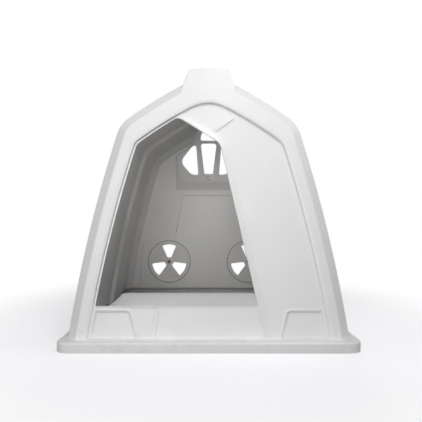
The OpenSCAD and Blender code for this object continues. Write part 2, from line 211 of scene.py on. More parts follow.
# %% [markdown]
# The whole moulding is one sheet of constant thickness. So it is built as a thin skin first: grids
# where it curves, and triangulated fills where it is nearly flat. All of them share their edge
# points, so that merging doubles makes one skin, which a Solidify modifier then makes 5 mm thick.
# This keeps every bend smooth with few faces, which a boolean of solids wouldn't.

# %% A sheet that collects grids and fills
FROM_EXTRA, FROM_EDGE = 0.006, 0.003


class Sheet:
    """A skin made of grids and fills that share their edge points. The points of a fill's own grid
    keep FROM_EXTRA away from extra points, and all keep FROM_EDGE away from its loops."""

    def __init__(self):
        self.points, self.faces, self.count = [], [], 0

    def add(self, points, faces):
        """Adds points, and faces that index them."""
        self.points.append(np.asarray(points, float).reshape(-1, 3))
        self.faces.extend((np.asarray(faces) + self.count).tolist())
        self.count += len(self.points[-1])

    def strip(self, rows, closed=False):
        """Quads through rows of equally many points: row i+1 lies beside row i."""
        rows = np.asarray(rows)
        m, n = rows.shape[:2]
        i, j = np.meshgrid(np.arange(m - 1), np.arange(n if closed else n - 1), indexing="ij")
        k = (j + 1) % n
        self.add(rows, np.stack([i * n + j, i * n + k, (i + 1) * n + k, (i + 1) * n + j], -1).reshape(-1, 4))

    def fill(self, outer, holes, place, spacing=0.04, extra=()):
        """Triangles inside the outer loop and outside its holes, through a grid of points and the
        extra ones. place turns x and z into points in space."""
        loops = [np.asarray(outer)] + [np.asarray(h) for h in holes]
        low, high = loops[0].min(0), loops[0].max(0)
        gx, gz = np.meshgrid(np.arange(low[0], high[0], spacing), np.arange(low[1], high[1], spacing))
        inner = np.stack([gx.ravel(), gz.ravel()], 1)
        if len(extra):
            extra = np.asarray(extra)
            inner = np.vstack([inner[nearest(inner, extra) > FROM_EXTRA], extra])
        keep = within(inner, loops)
        for loop in loops:
            keep &= np.abs(line_distance(inner, np.vstack([loop, loop[:1]]))) > FROM_EDGE
        edges = []
        for loop in loops:
            first = len(edges)
            edges += [(first + i, first + (i + 1) % len(loop)) for i in range(len(loop))]
        flat = np.vstack(loops + [inner[keep]])
        verts, _, tris, *_ = delaunay_2d_cdt([Vector(p) for p in flat], edges, [], 0, 1e-7)
        flat = np.array([[v.x, v.y] for v in verts])
        tris = np.array([t for t in tris if len(t) == 3])
        self.add(place(flat[:, 0], flat[:, 1]), tris[within(flat[tris].mean(1), loops)])

    def mesh(self, name, facing):
        """One mesh with its doubles merged. Its faces point out: the face whose middle is furthest
        along facing points that way."""
        mesh = bpy.data.meshes.new(name)
        mesh.from_pydata(np.vstack(self.points).tolist(), [], self.faces)
        work = bmesh.new()
        work.from_mesh(mesh)
        bmesh.ops.remove_doubles(work, verts=work.verts, dist=2e-5)
        bmesh.ops.dissolve_degenerate(work, edges=work.edges, dist=1e-6)
        bmesh.ops.recalc_face_normals(work, faces=work.faces)
        far = max(work.faces, key=lambda f: f.calc_center_median().dot(Vector(facing)))
        if far.normal.dot(Vector(facing)) < 0:
            bmesh.ops.reverse_faces(work, faces=work.faces)
        work.to_mesh(mesh)
        work.free()
        mesh.shade_smooth()
        return mesh


def within(points, loops):
    """Even-odd test over all the loops together: inside the first and outside its holes."""
    x, y = points[:, :1], points[:, 1:]
    a = np.vstack(loops)
    b = np.vstack([np.roll(loop, -1, 0) for loop in loops])
    spans = (a[:, 1] > y) != (b[:, 1] > y)
    rise = np.where(b[:, 1] == a[:, 1], 1.0, b[:, 1] - a[:, 1])
    return (spans & (x < (b[:, 0] - a[:, 0]) * (y - a[:, 1]) / rise + a[:, 0])).sum(1) % 2 == 1


def nearest(points, others):
    """Distance from each point to the nearest of the others."""
    return np.linalg.norm(points[:, None] - others[None], axis=2).min(1)


def line_distance(points, line):
    """Signed distance from points to an open line of points: positive on its right-hand side."""
    a, b = line[:-1], line[1:]
    along = b - a
    offset = points[:, None] - a[None]
    t = np.clip((offset * along).sum(2) / (along ** 2).sum(1), 0, 1)
    gap = offset - t[..., None] * along
    distance = np.linalg.norm(gap, axis=2)
    near = distance.argmin(1)
    pick = np.arange(len(points))
    side = along[near, 0] * offset[pick, near, 1] - along[near, 1] * offset[pick, near, 0]
    return distance[pick, near] * np.where(side > 0, -1, 1)


def smooth(t):
    """Eases from 0 to 1 as t goes from 0 to 1: three t squared minus two t cubed."""
    t = np.clip(t, 0, 1)
    return t * t * (3 - 2 * t)


print("sheet helpers ready")

# %% Outlines with rounded corners
def corner_arc(a, p, b, r, steps):
    """The arc of radius r that rounds the corner p between a and b."""
    u, v = unit(a - p), unit(b - p)
    half = math.acos(np.clip(u @ v, -1, 1)) / 2
    c = p + unit(u + v) * r / math.sin(half)
    a0, a1 = heading(p + u * r / math.tan(half) - c), heading(p + v * r / math.tan(half) - c)
    return arc(c, r, a0, a0 + (a1 - a0 + 3 * math.pi) % (2 * math.pi) - math.pi, steps)


def rounded(corners, steps=6, closed=True):
    """A line of [x, z, radius] corners with each corner replaced by its arc."""
    pts = np.array(corners, float)
    n = len(pts)
    out = []
    for i in range(n):
        end = not closed and i in (0, n - 1)
        if pts[i][2] == 0 or end:
            out.append(pts[i:i + 1, :2])
        else:
            out.append(corner_arc(pts[i - 1][:2], pts[i][:2], pts[(i + 1) % n][:2], pts[i][2], steps))
    return np.vstack(out)


def drawn_in(corners, inset, closed=True):
    """The corners with each side moved by inset to the left of the way they run. The radii of
    corners that turn left shrink and the others grow. An open line keeps its ends' height."""
    pts = np.array(corners, float)
    n = len(pts)
    ways = [unit(pts[(i + 1) % n][:2] - pts[i][:2]) for i in range(n)]
    out = []
    for i in range(n):
        x, z, r = pts[i]
        if not closed and i in (0, n - 1):
            way = ways[0] if i == 0 else ways[-2]
            out.append([x - inset / way[1], z, 0])
            continue
        n0, n1 = -turned(ways[i - 1]), -turned(ways[i])
        left = ways[i - 1][0] * ways[i][1] - ways[i - 1][1] * ways[i][0] > 0
        grown = max(r - inset if left else r + inset, 0.0015)
        out.append([*(np.array([x, z]) + (n0 + n1) / (1 + n0 @ n1) * inset), grown if r else 0])
    return out


def bend(corners, radii, steps=4):
    """A line of (across, deep) points with its inner corners rounded, for the section of a bend."""
    rows = [[*c, r] for c, r in zip(corners, [0, *radii, 0])]
    return rounded(rows, steps, closed=False)


def mirror_corners(right, middle=()):
    """Corners of the right half, from the bottom up, then the middle ones and their reflection."""
    return [*right, *middle, *([-x, z, r] for x, z, r in reversed(right))]


print("a rounded square has", len(rounded([[0, 0, .1], [1, 0, .1], [1, 1, .1], [0, 1, .1]])), "points")

# %% [markdown]
# The body runs from the front bevel over three hoops and two valleys to the rear bevel. It is one
# grid: at each station along the hutch the outline is drawn in by a given amount. The ends lean, so
# the stations there lean too, and the lean dies away along the first hoop.

# %% The body grid
BEVEL_IN, BEVEL_LONG = 0.050, 0.060
BORDER_EDGE = BEVEL_IN + 0.006
VALLEY_PLACE, VALLEY_FLAT, VALLEY_SLOPE, VALLEY_DEPTH = 0.355, 0.320, 0.040, 0.028
RIDGE_EDGE = 0.009


def ridge_edge_inset(back):
    """Quarter circle: how far the ridge's end is drawn in at a distance back from its face."""
    reach = max(RIDGE_EDGE - back, 0)
    return RIDGE_EDGE - math.sqrt(RIDGE_EDGE ** 2 - reach ** 2)


def placed(outline, y):
    """Outline points [x, z] set at y, which may vary along the outline."""
    return np.stack([outline[:, 0], np.broadcast_to(y, len(outline)), outline[:, 1]], 1)


bevel_path = bend([(BORDER_EDGE, 0), (BEVEL_IN, 0), (0, BEVEL_LONG), (0, BEVEL_LONG + 0.05)],
                  [0.009, 0.030], 5)
valley_t = np.linspace(0, 1, 9)
valley_in = VALLEY_DEPTH * (1 - np.cos(np.pi * valley_t)) / 2
front_rows, rear_rows, hoop_rows = [], [], []
for inset, back in bevel_path:
    outline = body_outline(inset, ridge_edge_inset(back))
    front_rows.append(placed(outline, front_y(outline[:, 1]) + back))
    rear_rows.append(placed(outline, rear_y(outline[:, 1]) - back))
for middle in (-VALLEY_PLACE, VALLEY_PLACE):
    down = middle - VALLEY_FLAT / 2 - VALLEY_SLOPE * (1 - valley_t)
    up = middle + VALLEY_FLAT / 2 + VALLEY_SLOPE * valley_t
    for y, inset in zip([*down, *up], [*valley_in, *valley_in[::-1]]):
        hoop_rows.append(placed(body_outline(inset, 0), y))
skin = Sheet()
body_grid = np.array(front_rows + hoop_rows + rear_rows[::-1])
skin.strip(body_grid)
print("body grid", body_grid.shape)

# %% [markdown]
# The front wall is a flat border, a sloping step and a panel behind it, which the doorway is cut
# into. Bends in the panel are too shallow for strips of their own: a rib across it, a second rib
# below the sill, and a flare that stands out along the doorway's right edge. So the panel's fill
# gets a height for every point instead, worked out from its distance to a few lines.

# %% The front border and its step
STEP = 0.020


def on_front(x, z, back=0.0):
    """A point on the front wall, set back from its face."""
    return np.stack([x, front_y(z) + back, z], -1)


def rows_on(wall, lines, path):
    """Lines of [x, z] points set on a wall, each as deep as its row of the path says."""
    return [wall(p[:, 0], p[:, 1], deep) for p, (_, deep) in zip(lines, path)]


step_path = bend([(-STEP - 0.005, 0), (-STEP, 0), (-0.0065, 0.0035), (0, STEP), (0.002, STEP)],
                 [0.004, 0.004, 0.001])
step_outlines = [arch(RECESS, inset) for inset, _ in step_path]
skin.strip(rows_on(on_front, step_outlines, step_path))
face_outline = body_outline(BORDER_EDGE, RIDGE_EDGE)
DIMPLE = dict(x=0.628, z=0.088, radius=0.0055, depth=0.003)
dimple_loops = []
for side in (-1, 1):
    centre = (side * DIMPLE["x"], DIMPLE["z"])
    path = bend([(0.002, 0), (0, 0), (-0.001, DIMPLE["depth"]), (-0.004, DIMPLE["depth"])], [0.0008] * 2, 2)
    rings = [arc(centre, DIMPLE["radius"] + a, 0, 2 * math.pi, 20)[:-1] for a, _ in path]
    skin.strip(rows_on(on_front, rings, path), closed=True)
    skin.fill(rings[-1], [], lambda x, z: on_front(x, z, DIMPLE["depth"]))
    dimple_loops.append(rings[0])
border_in = step_outlines[0]
skin.fill(np.vstack([face_outline, border_in[::-1]]), dimple_loops, on_front)
print("border at the foot", np.round([border_in[0, 0], face_outline[0, 0]], 3))

# %% The doorway's outline
SILL = 0.210
DOOR_RIGHT = [[0.244, SILL, 0.008], [0.058, 1.022, 0.075], [-0.156, 1.154, 0.032]]
left_edge = arch(RECESS, 0.006)
left_edge = left_edge[(left_edge[:, 0] < -0.20) & (left_edge[:, 1] > SILL + 0.012)]
left_foot = left_edge[-1] + (left_edge[-1] - left_edge[-2]) * (SILL - left_edge[-1, 1]) / (
    left_edge[-1, 1] - left_edge[-2, 1])
door_loop = rounded([*DOOR_RIGHT, *([x, z, 0] for x, z in left_edge), [*left_foot, 0.006]], 10)
flare_line = np.vstack([rounded([[-0.150, 1.1502, 0], DOOR_RIGHT[1], DOOR_RIGHT[0]], 10, closed=False),
                        [[0.244 + 0.229 * (SILL - FOOT_Z), FOOT_Z - 0.02]]])[::-1]
print("doorway from", np.round(door_loop.min(0), 3), "to", np.round(door_loop.max(0), 3))

# %% The panel's heights
FLARE_HIGH, FLARE_WIDE, FLARE_SIDE = 0.009, 0.040, 0.014
RIB_HIGH, RIB_WIDE = 0.0060, 0.020
UPPER_RIB = np.array([[0.028, 1.083], [0.128, 1.155]])
LOWER_RIB = np.array([[-0.274, FOOT_Z - 0.02], [-0.252, SILL]])


def rib_height(points, line, ends):
    """A raised band along a line: full height in its middle, easing to nothing over 5 mm at each
    side, and over 12 mm at those ends that fade."""
    away = np.abs(line_distance(points, line))
    along = (points - line[0]) @ unit(line[1] - line[0])
    length = np.linalg.norm(line[1] - line[0])
    fade = smooth(along / 0.012) if ends[0] else 1
    fade = fade * (smooth((length - along) / 0.012) if ends[1] else 1)
    return RIB_HIGH * smooth((RIB_WIDE / 2 + 0.003 - away) / 0.006) * fade


def panel_height(points):
    """How far the front panel stands out at each point: ribs, the flare and a rolled sill."""
    away = line_distance(points, flare_line)
    share = np.where(away > 0, np.clip(1 - away / FLARE_WIDE, 0, 1) ** 2, smooth(1 + away / FLARE_SIDE))
    flare = FLARE_HIGH * share * smooth((points[:, 0] + 0.150) / 0.06)
    under = np.where(points[:, 1] <= SILL + 1e-6, np.clip(1 - (SILL - points[:, 1]) / 0.012, 0, 1) ** 2, 0)
    sill = 0.003 * under * (away < 0)
    total = (np.maximum(flare, sill) + rib_height(points, UPPER_RIB, (True, True))
             + rib_height(points, LOWER_RIB, (False, False)))
    for line in (step_outlines[-1], pads[-1][0], pads[1][0]):
        total = total * smooth(np.abs(line_distance(points, line)) / 0.006)
    return total


def beside(line, offsets, spacing=0.02):
    """Rows of points beside a line, at each offset to its right."""
    seg = np.linalg.norm(np.diff(line, axis=0), axis=1)
    at = np.concatenate([[0], np.cumsum(seg)])
    s = np.linspace(0, at[-1], int(at[-1] / spacing) + 2)
    mid = np.stack([np.interp(s, at, line[:, k]) for k in (0, 1)], 1)
    way = np.gradient(mid, axis=0)
    right = np.stack([way[:, 1], -way[:, 0]], 1) / np.linalg.norm(way, axis=1)[:, None]
    return np.vstack([mid + right * o for o in offsets])


def on_panel(x, z):
    """A point on the front panel, at its own height."""
    return on_front(x, z, STEP - panel_height(np.stack([x, z], 1)))


print("flare stands out", FLARE_HIGH, "m along a line of", len(flare_line), "points")

# %% [markdown]
# Two shallow panels are sunk into the foot of the front wall, each with a low bead round it. Their
# edge is one profile, a raised half wave and then a drop, carried along an open line that starts
# and ends at the foot of the wall.

# %% The two sunk foot panels
SUNK, BEAD = 0.010, 0.0035
PAD_PATH = np.array([-0.0165, -0.0145, -0.0115, -0.0085, -0.0055, -0.0025, 0,
                     0.002, 0.004, 0.006, 0.008, 0.010])


def pad_depth(a, along_x, z):
    """The edge's profile: a drop eased over 9 mm after a bead that is a sine squared. The bead
    fades out next to the step."""
    limit = np.interp(z, arch(RECESS, 0)[:23, 1], arch(RECESS, 0)[:23, 0])
    near = smooth((limit - np.abs(along_x)) / 0.03)
    bead = np.where((a > -0.0145) & (a < 0.0005), np.sin(np.pi * (a + 0.0145) / 0.015) ** 2, 0)
    return SUNK * smooth((a + 0.001) / 0.009) - BEAD * bead * near


def foot_pad(side):
    """The rows of one panel's edge as [x, z] loops, from the inner foot over the top to the outer
    foot. The outer side is squeezed against the step."""
    loops = []
    for a in PAD_PATH:
        outer = a * (0.25 if a < 0 else 1)
        inner_foot, inner_top, top = 0.360 + a * 1.02, 0.392 + a, 0.186 - a
        outer_top, outer_foot = 0.557 - outer, 0.580 - outer
        radius = max(0.020 - a, 0.004)
        corners = [[inner_foot, FOOT_Z, 0], [inner_top, top, radius],
                   [outer_top, top, max(0.006 - outer, 0.002)], [outer_foot, FOOT_Z, 0]]
        pts = rounded(corners, 6, closed=False)
        loops.append(pts * [side, 1])
    return loops


pads = {side: foot_pad(side) for side in (-1, 1)}
for side, loops in pads.items():
    rows = [on_front(p[:, 0], p[:, 1], STEP + pad_depth(a, p[:, 0], p[:, 1]))
            for p, a in zip(loops, PAD_PATH)]
    skin.strip(rows)
    skin.fill(loops[-1], [], lambda x, z: on_front(x, z, STEP + SUNK))
FLARE_OFFSETS = [-0.014, -0.0105, -0.007, -0.0035, 0, 0.005, 0.011, 0.018, 0.026, 0.034, 0.040]
flare_rows = beside(flare_line, FLARE_OFFSETS)
rib_rows = np.vstack([beside(rib, [s * o for s in (-1, 1) for o in (0.003, 0.007, 0.010, 0.013)], 0.012)
                      for rib in (UPPER_RIB, LOWER_RIB)])
sill_rows = np.array([[x, SILL - d] for x in np.arange(-0.52, 0.24, 0.02) for d in (0.003, 0.006, 0.012)])
across = np.linspace(-1, 1, 11)
foot_xs = np.concatenate([[-0.335, -0.315, -0.295], -0.269 + 0.016 * across, np.arange(-0.22, 0.25, 0.03),
                          0.2775 + np.array(FLARE_OFFSETS), [0.330, 0.340]])
foot_line = np.stack([foot_xs, np.full(len(foot_xs), FOOT_Z)], 1)
panel_outline = np.vstack([step_outlines[-1], pads[-1][0][::-1], foot_line, pads[1][0]])
skin.fill(panel_outline, [door_loop], on_panel, extra=np.vstack([flare_rows, rib_rows, sill_rows]))
print("panel outline", len(panel_outline), "points")

# %% [markdown]
# The rear wall has a large shallow sunk zone for the two round vents, and above it a bay that
# stands out like a sloping dormer and holds the four openings of the ridge vent. The bay's depth is
# worked out from its height: it grows along its lower slope, and then shrinks to nothing upwards.

# %% The rear wall: the sunk zone
REAR_SUNK = 0.010
SLOT = dict(inner=0.040, outer=0.145, angle=math.radians(47), round=0.006)
BOLT_HOLE = 0.0064
SHUTTER_BOLT_HOLE = 0.005


def on_rear(x, z, sunk=0.0):
    """A point on the rear wall, sunk towards the inside."""
    return np.stack([x, rear_y(z) - sunk, z], -1)


def slot_loop(centre, turn):
    """One opening of a vent: a sector between two radii, with rounded corners."""
    half = SLOT["angle"] / 2
    rim = [(SLOT["outer"], half * k) for k in np.linspace(-1, 1, 9)]
    polar = [(SLOT["inner"], -half), *rim, (SLOT["inner"], half)]
    out = [[r * math.cos(a), r * math.sin(a)] for r, a in polar]
    radii = [SLOT["round"], SLOT["round"] * 1.5] + [0] * 7 + [SLOT["round"] * 1.5, SLOT["round"]]
    c, s = math.cos(turn), math.sin(turn)
    pts = rounded([[x, z, r] for (x, z), r in zip(out, radii)], 4)
    return np.array(centre) + pts @ np.array([[c, s], [-s, c]])


def ring(centre, radius, steps=24):
    """A circle as a closed loop."""
    return arc(centre, radius, 0, 2 * math.pi, steps)[:-1]


def vent_holes(centre, bolt_hole=BOLT_HOLE):
    """The three openings and the bolt's hole."""
    slots = [slot_loop(centre, math.pi / 2 + k * 2 * math.pi / 3) for k in range(3)]
    return [*slots, ring(centre, bolt_hole)]


zone = mirror_corners([[0.5855, FOOT_Z, 0], [0.556, 0.455, 0.030], [0.388, 0.472, 0.030],
                       [0.280, 0.500, 0.045], [0.219, 0.836, 0.025]])
zone_path = bend([(-0.006, 0), (0, 0), (0.007, REAR_SUNK), (0.013, REAR_SUNK)], [0.006, 0.005], 4)
zone_loops = [rounded(drawn_in(zone, a, closed=False), 6, closed=False) for a, _ in zone_path]
skin.strip(rows_on(on_rear, zone_loops, zone_path))
pivot_x, pivot_z = abs(pivots["left_disc"][0][0]), pivots["left_disc"][0][2]
wall_holes = [loop for side in (-1, 1) for loop in vent_holes((side * pivot_x, pivot_z))]
skin.fill(zone_loops[-1], wall_holes, lambda x, z: on_rear(x, z, REAR_SUNK))
print("sunk zone", np.round(zone_loops[-1].max(0), 3))

# %% The rear wall: the vent bay
BAY = dict(foot=0.880, sill=0.950, top=1.385, out=0.030)
bay = mirror_corners([[0.274, 0.878, 0.020], [0.274, 1.172, 0.030],
                      [0.120, 1.264, 0.020], [0.088, 1.376, 0.020]])
bay_path = np.array([[-0.002, 0], [-0.0008, 0.01], [0.0004, 0.12], [0.0015, 0.5],
                     [0.0026, 0.88], [0.0038, 0.99], [0.005, 1]])
cells = [mirror_corners([[0.035, 1.012, 0.014], [0.066, 1.270, 0.020]]),
         mirror_corners([[0.070, 1.295, 0.014], [0.058, 1.363, 0.024]]),
         [[0.087, 1.011, 0.014], [0.150, 1.016, 0.050], [0.240, 1.121, 0.060], [0.136, 1.249, 0.030],
          [0.106, 1.254, 0.014]]]
cells.append([[-x, z, r] for x, z, r in cells[2]])


def bay_height(z):
    """How far the bay stands out at a height: up along its lower slope, then down to its top, with
    the edge between them rounded over 24 mm."""
    rising = (z - BAY["foot"]) / (BAY["sill"] - BAY["foot"]) * BAY["out"]
    falling = (BAY["top"] - z) / (BAY["top"] - BAY["sill"]) * BAY["out"]
    ease = 0.0045
    gap = np.clip(0.5 + (falling - rising) / (2 * ease), 0, 1)
    return np.clip(falling * (1 - gap) + rising * gap - ease * gap * (1 - gap), 0, None)


def on_bay(x, z, share=1.0):
    """A point on the bay, or part of the way out to it."""
    return on_rear(x, z, -share * bay_height(z))


bay_loops = [rounded(drawn_in(bay, a), 8) for a, _ in bay_path]
skin.strip(rows_on(on_bay, bay_loops, bay_path), closed=True)
bend_heights = (0.930, 0.936, 0.942, 0.948, 0.954, 0.960, 0.966)
bend_rows = np.array([[x, z] for x in np.arange(-0.24, 0.25, 0.02) for z in bend_heights])
shutter_z = pivots["shutter"][0][2]
bay_holes = [*(rounded(c, 6) for c in cells), ring((0, shutter_z), SHUTTER_BOLT_HOLE)]
skin.fill(bay_loops[-1], bay_holes, on_bay, extra=bend_rows)
rear_outline = np.vstack([face_outline, zone_loops[0][::-1]])
skin.fill(rear_outline, [bay_loops[0]], on_rear)
print("bay stands out", round(float(bay_height(np.array([0.95]))[0]), 4))

# %% [markdown]
# The flange round the base joins the walls with a small fillet, runs out as a level ledge, turns
# over a rounded edge and ends in a short skirt that stands on the ground. Every strip and fill above
# ends at one height, so their feet together are a closed loop, and the flange is one grid carried
# round it.

# %% The flange
EDGE = 0.008
CORNER = 0.075
FILLET = 0.014


def ends(lines, k):
    """The x of one end of each line: of its first point for k = 0 and of its last for k = -1."""
    return [line[k, 0] for line in lines]


def flange_foot():
    """The loop of feet, the way out at each and the point of the ledge's edge opposite each."""
    face_x = face_outline[0, 0]
    front_x = np.concatenate([[-face_x], ends(step_outlines, -1), ends(pads[-1], -1), ends(pads[-1], 0)[::-1],
                              foot_xs, ends(pads[1], 0), ends(pads[1], -1)[::-1],
                              ends(step_outlines, 0)[::-1], [face_x]])
    pad_deep = [[STEP + float(pad_depth(a, *p[k])) for p, a in zip(pads[1], PAD_PATH)] for k in (-1, 0)]
    middle = STEP - panel_height(foot_line)
    front_deep = np.concatenate([[0], step_path[:, 1], pad_deep[0], pad_deep[1][::-1], middle, pad_deep[1],
                                 pad_deep[0][::-1], step_path[::-1, 1], [0]])
    rear_x = np.concatenate([[face_x], ends(zone_loops, 0), ends(zone_loops, -1)[::-1], [-face_x]])
    rear_deep = np.concatenate([[0], zone_path[:, 1], zone_path[::-1, 1], [0]])
    front = np.stack([front_x, front_y(FOOT_Z) + front_deep], 1)
    rear = np.stack([rear_x, rear_y(FOOT_Z) - rear_deep], 1)
    right, left = body_grid[1:-1, 0, :2], body_grid[-2:0:-1, -1, :2]
    n = len(bevel_path) - 1
    share = np.arange(1, n) / n
    turn = np.concatenate([share, np.ones(len(right) - 2 * (n - 1)), 1 + share]) * math.pi / 2
    reach_y = LENGTH / 2 - EDGE
    cx, cy, r = WIDTH / 2 - CORNER, LENGTH / 2 - CORNER, CORNER - EDGE
    out_side = np.stack([np.sin(turn), -np.cos(turn)], 1)
    edge_side = np.stack([cx + r * out_side[:, 0], right[:, 1]], 1)
    edge_side[:n - 1, 1] = -cy + r * out_side[:n - 1, 1]
    edge_side[1 - n:, 1] = cy + r * out_side[1 - n:, 1]
    k = cx / face_x
    feet = np.vstack([front, right, rear, left])
    outs = np.vstack([np.tile([0, -1], (len(front), 1)), out_side, np.tile([0, 1], (len(rear), 1)),
                      (out_side * [-1, 1])[::-1]])
    edges = np.vstack([np.stack([front_x * k, np.full(len(front), -reach_y)], 1), edge_side,
                       np.stack([rear_x * k, np.full(len(rear), reach_y)], 1), (edge_side * [-1, 1])[::-1]])
    return feet, outs, edges


feet, outs, edges = flange_foot()


def level(xy, z):
    """Points in plan set at one height."""
    return np.column_stack([xy, np.full(len(xy), z)])


flange_rows = []
for t in np.linspace(0, 1, 6):
    side_on = (1 - t) ** 2 * level(feet, FOOT_Z) + 2 * t * (1 - t) * level(feet, FLANGE)
    flange_rows.append(side_on + t ** 2 * level(feet + FILLET * outs, FLANGE))
flange_rows.append(level(edges - 0.002 * outs, FLANGE))
for a in np.linspace(0, math.pi / 2, 6):
    flange_rows.append(level(edges + EDGE * math.sin(a) * outs, FLANGE - EDGE * (1 - math.cos(a))))
flange_rows += [level(edges + EDGE * outs, z) for z in (0.036, 0.018, 0.0)]
skin.strip(flange_rows, closed=True)
print("flange", len(feet), "points round, reaching", np.round(np.abs(flange_rows[-1]).max(0), 4))

# %% [markdown]
# The skin becomes the shell: a Solidify modifier adds the wall inwards, a Bevel rounds the cut
# edges of the doorway and the vents, and weighted normals keep the flat faces flat. The same three
# modifiers finish every sheet-made piece.

# %% Turning a mesh into a finished piece
def in_scene(name, data):
    """A new object in the scene, made of the given data."""
    obj = bpy.data.objects.new(name, data)
    bpy.context.scene.collection.objects.link(obj)
    return obj


def piece(mesh, name, body, replaced, material):
    """An object that rides on its body in place of CAD nodes."""
    obj = in_scene(name, mesh)
    mesh.materials.append(material)
    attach(obj, body)
    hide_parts(*replaced)
    return obj


def with_wall(obj, thick, edge):
    """Adds the wall inwards, and rounds the edges where the sheet was cut."""
    wall = obj.modifiers.new("wall", "SOLIDIFY")
    wall.thickness, wall.offset = thick, -1
    wall.use_even_offset = True
    soft = obj.modifiers.new("soft edges", "BEVEL")
    soft.width, soft.segments, soft.limit_method = edge, 2, "ANGLE"
    soft.angle_limit = math.radians(55)
    flat = obj.modifiers.new("flat faces", "WEIGHTED_NORMAL")
    flat.keep_sharp = True
    return obj


# %% [markdown]
# ## Materials
# Rotomoulded polyethylene is white but never even: it is a little cloudy, the mould's blasted
# surface gives it a fine orange-peel grain, and it is duller where it has been rubbed. Near the
# ground it picks up splashes of brown dust. An image texture could show that, but noise patterns on
# object coordinates need no unwrapping and stay the right size on every piece.

# %% Small helpers for node materials
def new_material(name):
    """An empty principled material: returns it with its nodes, links and shader."""
    material = bpy.data.materials.new(name)
    material.use_nodes = True
    tree = material.node_tree
    return material, tree, tree.nodes["Principled BSDF"]


def node(tree, kind, inputs=None, **settings):
    """A node with its settings, and its inputs given as values or as sockets to link from."""
    made = tree.nodes.new("ShaderNode" + kind)
    for key, value in settings.items():
        setattr(made, key, value)
    for key, value in (inputs or {}).items():
        if isinstance(value, bpy.types.NodeSocket):
            tree.links.new(value, made.inputs[key])
        else:
            made.inputs[key].default_value = value
    return made


def noise(tree, where, scale, detail=3.0, roughness=0.5):
    """Noise of a given scale, in cells per metre, as a 0 to 1 socket."""
    return node(tree, "TexNoise", {"Vector": where, "Scale": scale, "Detail": detail,
                                   "Roughness": roughness}).outputs["Fac"]


def remap(tree, value, low, high, to_low=0.0, to_high=1.0):
    """Maps a socket from one range to another, eased at both ends."""
    return node(tree, "MapRange", {"Value": value, "From Min": low, "From Max": high, "To Min": to_low,
                                   "To Max": to_high}, interpolation_type="SMOOTHSTEP").outputs["Result"]


def times(tree, a, b):
    """The product of two values."""
    return node(tree, "Math", {0: a, 1: b}, operation="MULTIPLY").outputs[0]


def plus(tree, a, b):
    """The sum of two values."""
    return node(tree, "Math", {0: a, 1: b}, operation="ADD").outputs[0]


def blend(tree, share, a, b):
    """Colour a turning into colour b as share goes from 0 to 1."""
    return node(tree, "Mix", {0: share, 6: a, 7: b}, data_type="RGBA").outputs[2]


def bumped(tree, shader, heights):
    """Chains bumps from (height socket, distance in metres, strength) onto a shader's normal."""
    normal = None
    for height, distance, strength in heights:
        inputs = {"Height": height, "Distance": distance, "Strength": strength}
        if normal:
            inputs["Normal"] = normal
        normal = node(tree, "Bump", inputs).outputs["Normal"]
    tree.links.new(normal, shader.inputs["Normal"])


print("material helpers ready")

# %% White polyethylene
def polyethylene(name, color, grime, dust_top, rough=0.42):
    """Cloudy white plastic with an orange-peel grain, fine scratches, and dust up to dust_top."""
    material, tree, shader = new_material(name)
    where = node(tree, "TexCoord").outputs["Object"]
    height = node(tree, "SeparateXYZ", {"Vector": where}).outputs["Z"]
    cloud = noise(tree, where, 3.2, 4.0, 0.55)
    speck = noise(tree, where, 160.0, 2.0)
    grain = noise(tree, where, 420.0, 2.0, 0.6)
    sag = noise(tree, where, 5.0, 1.0)
    stretched = node(tree, "Mapping", {"Vector": where, "Rotation": (0.3, 0.5, 0.2), "Scale": (14, 14, 160)})
    scratch = remap(tree, noise(tree, stretched.outputs[0], 1.0, 4.0, 0.7), 0.66, 0.74)
    stain = times(tree, remap(tree, noise(tree, where, 9.0, 6.0, 0.65), 0.48, 0.75),
                  remap(tree, height, dust_top, 0.0))
    streaks = node(tree, "Mapping", {"Vector": where, "Scale": (22, 22, 1.6)})
    run = times(tree, remap(tree, noise(tree, streaks.outputs[0], 1.0, 3.0), 0.55, 0.8),
                remap(tree, cloud, 0.5, 0.7))
    base = blend(tree, remap(tree, cloud, 0.3, 0.7), color, [c * 0.965 for c in color[:3]] + [1])
    base = blend(tree, times(tree, remap(tree, speck, 0.35, 0.75), 0.12), base, (0.70, 0.68, 0.65, 1))
    base = blend(tree, times(tree, run, 0.10), base, (0.58, 0.53, 0.47, 1))
    base = blend(tree, times(tree, stain, grime), base, (0.42, 0.35, 0.27, 1))
    base = blend(tree, times(tree, scratch, 0.10), base, (0.62, 0.61, 0.60, 1))
    tree.links.new(base, shader.inputs["Base Color"])
    dull = plus(tree, times(tree, remap(tree, cloud, 0.2, 0.8), 0.12), times(tree, stain, 0.25))
    dull = plus(tree, dull, times(tree, scratch, 0.12))
    tree.links.new(plus(tree, dull, rough - 0.05), shader.inputs["Roughness"])
    shader.inputs["IOR"].default_value = 1.52
    bumped(tree, shader, [(sag, 0.004, 0.25), (grain, 0.0004, 0.35), (scratch, 0.0002, 0.4)])
    return material


VENT_WHITE = (0.80, 0.79, 0.775, 1)
moulded = polyethylene("moulded_polyethylene", (0.825, 0.822, 0.818, 1), 0.26, 0.16)
sheet_plastic = polyethylene("vent_polyethylene", VENT_WHITE, 0.20, 0.15, 0.38)
knob_plastic = polyethylene("knob_polyethylene", (0.84, 0.84, 0.84, 1), 0.0, 0.01, 0.27)
print("plastics", moulded.name, sheet_plastic.name, knob_plastic.name)
